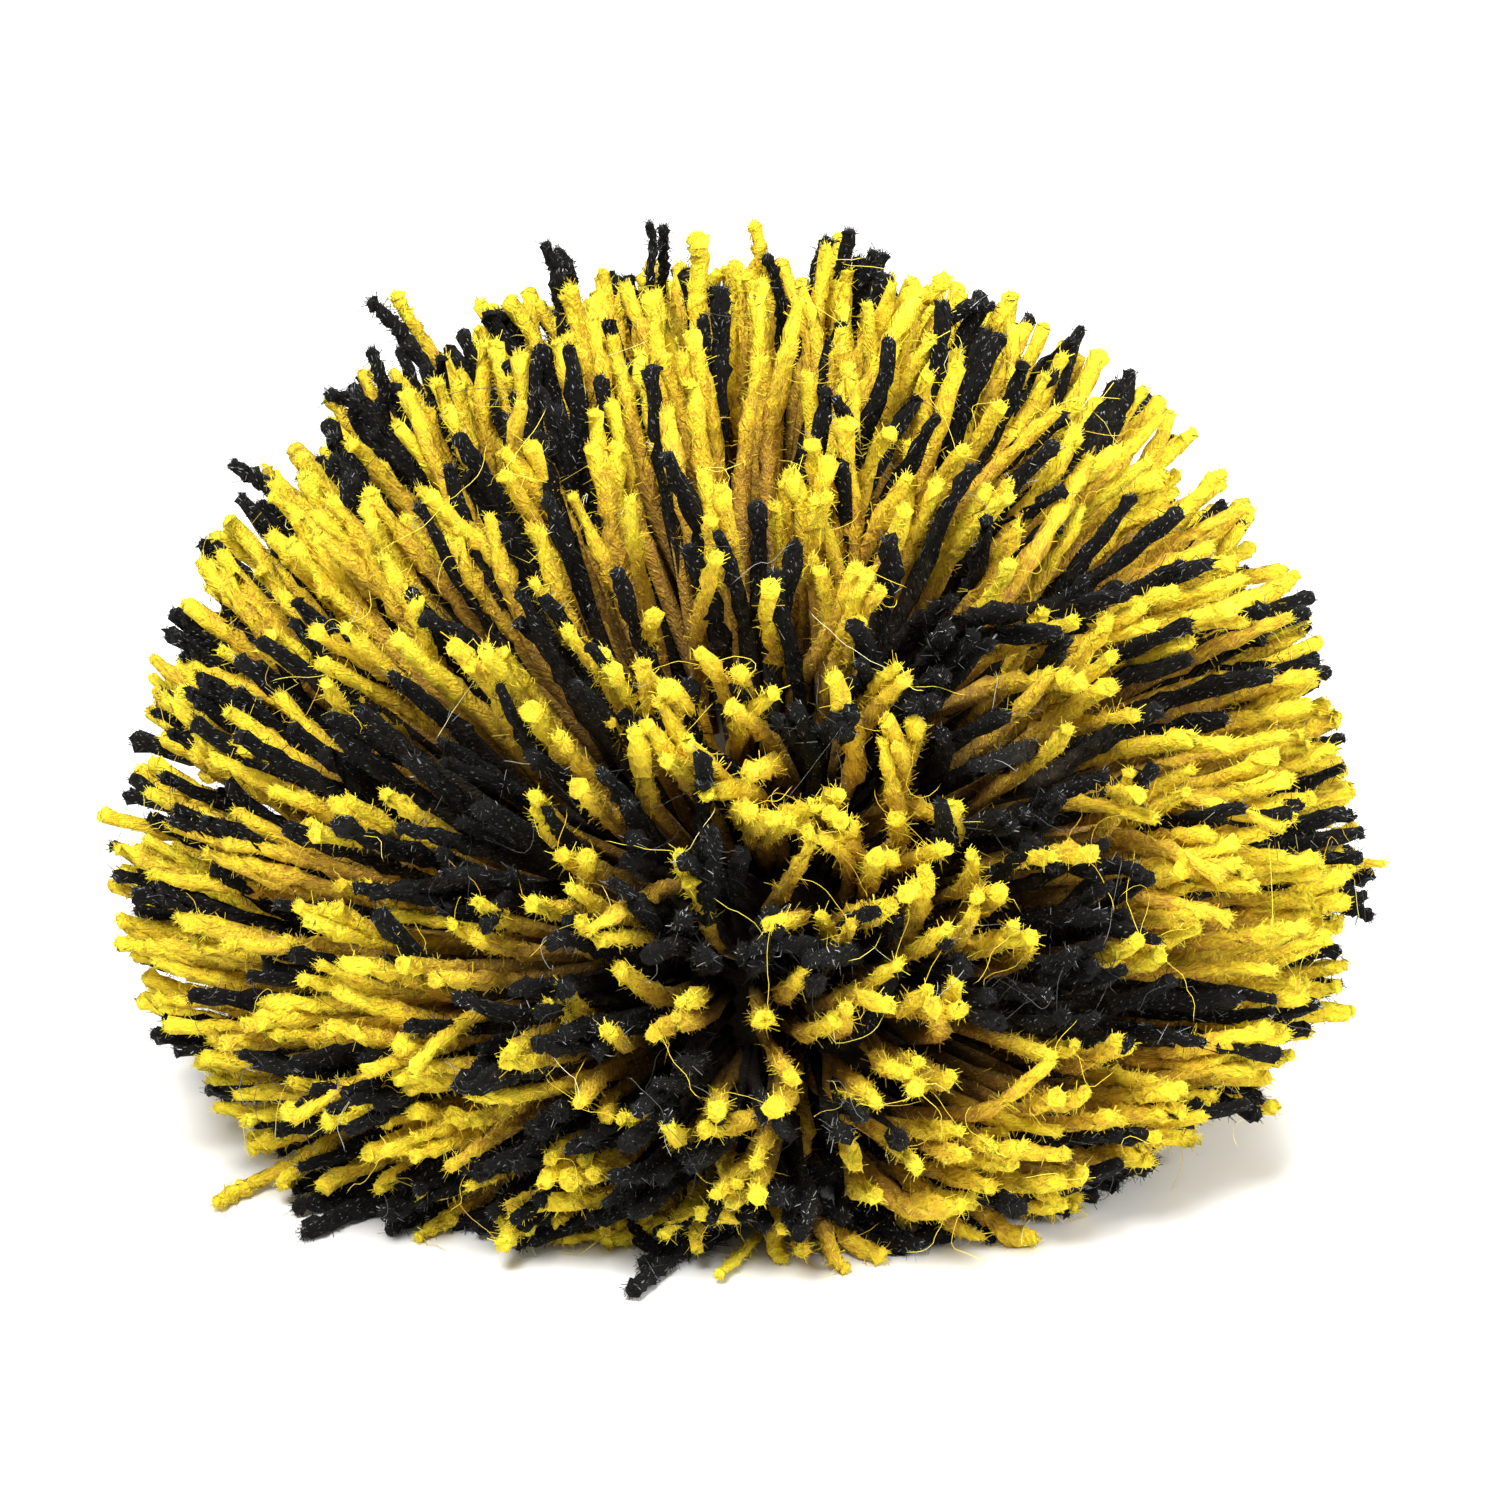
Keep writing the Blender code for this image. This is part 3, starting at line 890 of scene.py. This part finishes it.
# Black short fibres by tone: near black at random, and the last few painted as bluish white glints.
BLACK_FLUFF_TONES_AND_PAINTED_GLINTS = (
    (0.00, 0.004, 0.0036, 0.003),
    (0.80, 0.009, 0.008, 0.0065),
    (0.90, 0.10, 0.10, 0.10),
    (1.00, 0.52, 0.55, 0.56),
)
# Yellow loose fibres by tone: golden to yellow at random, and the last few painted pale as glints.
YELLOW_FIBRE_TONES_AND_PAINTED_GLINTS = (
    (0.00, 0.62, 0.35, 0.005),
    (0.35, 0.93, 0.68, 0.015),
    (0.90, 0.98, 0.85, 0.08),
    (1.00, 1.0, 0.95, 0.55),
)
# Black loose fibres by tone: near black at random, and the last few painted pale grey as glints.
BLACK_FIBRE_TONES_AND_PAINTED_GLINTS = (
    (0.00, 0.003, 0.003, 0.003),
    (0.50, 0.012, 0.011, 0.010),
    (0.80, 0.10, 0.10, 0.09),
    (1.00, 0.55, 0.56, 0.52),
)
# Painted glints: the colours of the fine specks where a fibre of a yarn would catch the light.
YELLOW_PAINTED_GLINT = rgb(1.0, 0.89, 0.15)
BLACK_PAINTED_GLINT = rgb(0.23, 0.24, 0.24)

YELLOW_YARN = {"Roughness": 0.85, "Specular IOR Level": 0.12, "Sheen Weight": 0.12,
               "Sheen Roughness": 0.45, "Sheen Tint": rgb(1.0, 0.75, 0.2)}
BLACK_YARN = {"Roughness": 0.7, "Specular IOR Level": 0.08, "Sheen Weight": 0.02,
              "Sheen Roughness": 0.45, "Sheen Tint": rgb(0.8, 0.9, 1.0)}
YELLOW_FLUFF = {"Roughness": 0.6, "Specular IOR Level": 0.12, "Sheen Weight": 0.1,
                "Sheen Tint": rgb(1.0, 0.8, 0.2)}
BLACK_FLUFF = {"Roughness": 0.45, "Specular IOR Level": 0.15}
YELLOW_FIBRE = {"Roughness": 0.4, "Specular IOR Level": 0.6}
BLACK_FIBRE = {"Roughness": 0.3, "Specular IOR Level": 0.6}

# How a yarn's surface varies. The noises by winding have so many bumps to a turn round the yarn and
# to a centimetre along it, and the others so many to a metre.
PLY_PITCH = 0.0085  # for one turn of its plies
MOTTLE_SCALE = 1100.0
FINE_SCALE = 3600.0
STREAKS = {"round": 20.0, "along": 6.0}
# Where the painted glints fall on a yarn.
PAINTED_GLINT_NOISE = {"round": 26.0, "along": 18.0, "from": 0.66, "edge": 14.0}  # from: the noise where one starts
NOISE_MIDDLE = 0.52
DRIFT = {"tone": 0.16, "mottle": 0.40, "streaks": 0.50}  # how far each moves the colour up its ramp
RELIEF = {"ply": 0.25, "streaks": 1.2, "fine": 0.6}  # shares of the bump's height
BUMP_DISTANCE = 0.0004
# A yellow short fibre's tone moves it along the ramp by depth about this middle, which lies below the
# fibres' usual tone, so that most come out lighter than their yarn: a painted glow of light through them.
FLUFF_TONE = {"middle": 0.42, "drift": 0.42}


class Nodes:
    """Short calls for a material's nodes."""

    def __init__(self, name):
        self.material = bpy.data.materials.new(name)
        self.material.use_nodes = True
        self.tree = self.material.node_tree
        self.shader = self.tree.nodes["Principled BSDF"]

    def add(self, kind, inputs=(), **settings):
        node = self.tree.nodes.new(kind)
        for key, value in settings.items():
            setattr(node, key, value)
        for key, value in dict(inputs).items():
            self.put(node.inputs[key], value)
        return node

    def put(self, socket, value):
        if isinstance(value, bpy.types.NodeSocket):
            self.tree.links.new(value, socket)
        else:
            socket.default_value = value

    def math(self, operation, a, b=0.0, clamp=False):
        return self.add("ShaderNodeMath", {0: a, 1: b}, operation=operation, use_clamp=clamp).outputs[0]

    def past(self, value, start, times, clamp=False):
        """How far a value is past the start, so many times over."""
        return self.math("MULTIPLY", self.math("SUBTRACT", value, start), times, clamp)

    def mix(self, share, first, second):
        node = self.add("ShaderNodeMix", data_type="RGBA")
        self.put(node.inputs["Factor"], share)
        self.put(node.inputs[6], first)
        self.put(node.inputs[7], second)
        return node.outputs[2]

    def noise(self, scale, detail, rough=0.5, vector=None):
        node = self.add("ShaderNodeTexNoise", {"Scale": scale, "Detail": detail, "Roughness": rough})
        if vector is None:
            vector = self.add("ShaderNodeTexCoord").outputs["Object"]
        self.put(node.inputs["Vector"], vector)
        return node.outputs["Fac"]

    def stretched(self, turns, along, pitch):
        """The winding as a space for noise, with the bumps that a table gives round and along."""
        return self.add("ShaderNodeCombineXYZ", {
            "X": self.math("MULTIPLY", turns, pitch["round"]),
            "Y": self.math("MULTIPLY", along, pitch["along"]),
        }).outputs[0]

    def attribute(self, name):
        return self.add("ShaderNodeAttribute", attribute_name=name).outputs["Fac"]

    def ramp(self, value, stops):
        """A colour that runs through these stops, each (place, red, green, blue)."""
        node = self.add("ShaderNodeValToRGB", {"Fac": value})
        elements = node.color_ramp.elements
        while len(elements) < len(stops):
            elements.new(0.5)
        for element, (place, *colour) in zip(elements, stops):
            element.position = place
            element.color = rgb(*colour)
        return node.outputs["Color"]

    def finish(self, values):
        for socket, value in values.items():
            self.shader.inputs[socket].default_value = value
        return self.material


def yarn_material(name, painted_shading_by_depth, painted_glint, finish):
    """Yarn: mottled, with painted shading by depth that turns it browner towards its root and lighter
    at its cut end, and with its twisted plies and fibres as bump.

    Here and there a painted glint stands for a fibre that catches the light.
    """
    nodes = Nodes(name)
    tone, share = nodes.attribute("tone"), nodes.attribute("share")
    mottle = nodes.noise(MOTTLE_SCALE, 3.0)
    wound = nodes.add("ShaderNodeUVMap", uv_map="wound").outputs["UV"]
    split = nodes.add("ShaderNodeSeparateXYZ", {"Vector": wound})
    along = split.outputs["Y"]
    twist = nodes.math("MULTIPLY", along, 1 / UV_PER_METRE / PLY_PITCH)
    turns = nodes.math("ADD", split.outputs["X"], twist)
    ply = nodes.math("ABSOLUTE", nodes.math("SINE", nodes.math("MULTIPLY", turns, 2 * PI)))
    streaks = nodes.noise(1.0, 3.0, 0.6, nodes.stretched(turns, along, STREAKS))

    drift = nodes.math("ADD", nodes.past(tone, 0.5, DRIFT["tone"]),
                       nodes.past(mottle, NOISE_MIDDLE, DRIFT["mottle"]))
    drift = nodes.math("ADD", drift, nodes.past(streaks, NOISE_MIDDLE, DRIFT["streaks"]))
    depth = nodes.math("SUBTRACT", nodes.math("ADD", share, drift), HEADROOM)
    painted_glint_mask = nodes.noise(1.0, 1.0, 0.5, nodes.stretched(turns, along, PAINTED_GLINT_NOISE))
    painted_glint_mask = nodes.past(painted_glint_mask, PAINTED_GLINT_NOISE["from"], PAINTED_GLINT_NOISE["edge"], clamp=True)
    # The base colour: painted shading by depth, moved by the yarn's tone, mottle and streaks, with
    # painted glints mixed in at the noise's spots.
    nodes.put(nodes.shader.inputs["Base Color"], nodes.mix(painted_glint_mask, nodes.ramp(depth, painted_shading_by_depth), painted_glint))

    fine = nodes.noise(FINE_SCALE, 2.0)
    height = nodes.math("ADD", nodes.math("MULTIPLY", ply, RELIEF["ply"]),
                        nodes.math("MULTIPLY", streaks, RELIEF["streaks"]))
    height = nodes.math("ADD", height, nodes.math("MULTIPLY", fine, RELIEF["fine"]))
    bump = nodes.add("ShaderNodeBump", {"Height": height, "Strength": 1.0, "Distance": BUMP_DISTANCE})
    nodes.put(nodes.shader.inputs["Normal"], bump.outputs["Normal"])
    return nodes.finish(finish)


def fluff_material(name, painted_shading_by_depth, finish):
    """The short fibres of a yarn: of its painted shading at that depth, each a little lighter or darker,
    most a little lighter as a painted glow.
    """
    nodes = Nodes(name)
    drift = nodes.past(nodes.attribute("tone"), FLUFF_TONE["middle"], FLUFF_TONE["drift"])
    depth = nodes.math("SUBTRACT", nodes.math("ADD", nodes.attribute("share"), drift), HEADROOM)
    # Painted shading by depth, as on the yarn.
    nodes.put(nodes.shader.inputs["Base Color"], nodes.ramp(depth, painted_shading_by_depth))
    return nodes.finish(finish)


def fibre_material(name, tones_and_painted_glints, finish):
    """Single fibres, each of its own tone, the last few painted bright as glints where they would catch
    the light.
    """
    nodes = Nodes(name)
    # The last stops of the ramp by tone are painted glints.
    nodes.put(nodes.shader.inputs["Base Color"], nodes.ramp(nodes.attribute("tone"), tones_and_painted_glints))
    return nodes.finish(finish)


def make_looks():
    """Each colour's materials, and the slot that they stand for."""
    yellow = {
        "slot": "yellow_yarn",
        "yarn": yarn_material("yellow_yarn", YELLOW_PAINTED_SHADING_BY_DEPTH, YELLOW_PAINTED_GLINT, YELLOW_YARN),
        "fluff": fluff_material("yellow_fluff", YELLOW_PAINTED_SHADING_BY_DEPTH, YELLOW_FLUFF),
        "fibre": fibre_material("yellow_fibre", YELLOW_FIBRE_TONES_AND_PAINTED_GLINTS, YELLOW_FIBRE),
    }
    black = {
        "slot": "black_yarn",
        "yarn": yarn_material("black_yarn", BLACK_PAINTED_SHADING_BY_DEPTH, BLACK_PAINTED_GLINT, BLACK_YARN),
        "fluff": fibre_material("black_fluff", BLACK_FLUFF_TONES_AND_PAINTED_GLINTS, BLACK_FLUFF),
        "fibre": fibre_material("black_fibre", BLACK_FIBRE_TONES_AND_PAINTED_GLINTS, BLACK_FIBRE),
    }
    return {"yellow": yellow, "black": black}


# ---- stage, light and camera

FLOOR_SIZE = 6.0
PALE_TABLE = {"Base Color": rgb(0.93, 0.93, 0.93), "Roughness": 0.3}
WORLD_STRENGTH = 0.58
LIGHTS = rows_of(
    ("name", "place", "aim", "size", "watts"),
    ("key", (-0.18, -0.60, 0.82), (0, 0, 0.03), 0.40, 14.5),
    ("fill", (0.75, -0.35, 0.50), (0, 0, 0.03), 0.50, 7.0),
    ("back", (0.10, 0.70, 0.60), (0, 0, 0.04), 0.60, 5.0),
)

FRAME_SIZE = 1500  # pixels across the photo
ELEVATION = math.radians(20.0)  # by which the camera looks down
DISTANCE = 0.60  # from the camera to the plane through the origin that it faces
PIXELS_PER_METRE = 11127.0  # in that plane
ORIGIN_PIXEL = (745.0, 1076.0)  # where the photo shows the origin
SENSOR = 36.0  # millimetres
CLIP_START = 0.01


def make_stage():
    bpy.ops.mesh.primitive_plane_add(size=FLOOR_SIZE, location=(0, 0, 0))
    floor = bpy.context.object
    floor.name = "floor"
    floor.data.materials.append(Nodes("pale_table").finish(PALE_TABLE))

    world = bpy.data.worlds.new("studio")
    bpy.context.scene.world = world
    world.use_nodes = True
    background = world.node_tree.nodes["Background"]
    background.inputs["Color"].default_value = rgb(1, 1, 1)
    background.inputs["Strength"].default_value = WORLD_STRENGTH


def make_lights():
    for row in LIGHTS:
        light = bpy.data.lights.new(row["name"], "AREA")
        light.shape = "DISK"
        light.size = row["size"]
        light.energy = row["watts"]
        lamp = link_object(row["name"], light)
        lamp.location = row["place"]
        towards = Vector(row["aim"]) - Vector(row["place"])
        lamp.rotation_euler = towards.to_track_quat("-Z", "Y").to_euler()


def make_camera():
    back = Vector((0, -math.cos(ELEVATION), math.sin(ELEVATION)))
    up = Vector((0, math.sin(ELEVATION), math.cos(ELEVATION)))
    right = Vector((1, 0, 0))
    aside = (FRAME_SIZE / 2 - ORIGIN_PIXEL[0]) / PIXELS_PER_METRE
    above = (ORIGIN_PIXEL[1] - FRAME_SIZE / 2) / PIXELS_PER_METRE
    data = bpy.data.cameras.new("camera")
    data.sensor_width = SENSOR
    data.lens = PIXELS_PER_METRE * DISTANCE / FRAME_SIZE * SENSOR
    data.clip_start = CLIP_START
    camera = link_object("camera", data)
    camera.matrix_world = Matrix((right, up, back)).transposed().to_4x4()
    camera.location = right * aside + up * above + back * DISTANCE
    bpy.context.scene.camera = camera


def main():
    make_stage()
    make_lights()
    make_camera()
    bpy.context.scene.view_settings.view_transform = "Standard"

    looks = make_looks()
    yarns = plan_yarns()
    make_pile(yarns, plan_strands(), looks)
    for colour, picked in by_colour(yarns):
        make_hairs(f"{colour}_hairs", yarns, picked, looks[colour], HAIR_SEEDS[colour], HAIRS[colour])
    # The heart has no share or tone, so it takes the deepest colour of the black ramp by depth, painted
    # brown as light bounced off the yellow yarns.
    make_heart("packed_heart", looks["black"])


main()
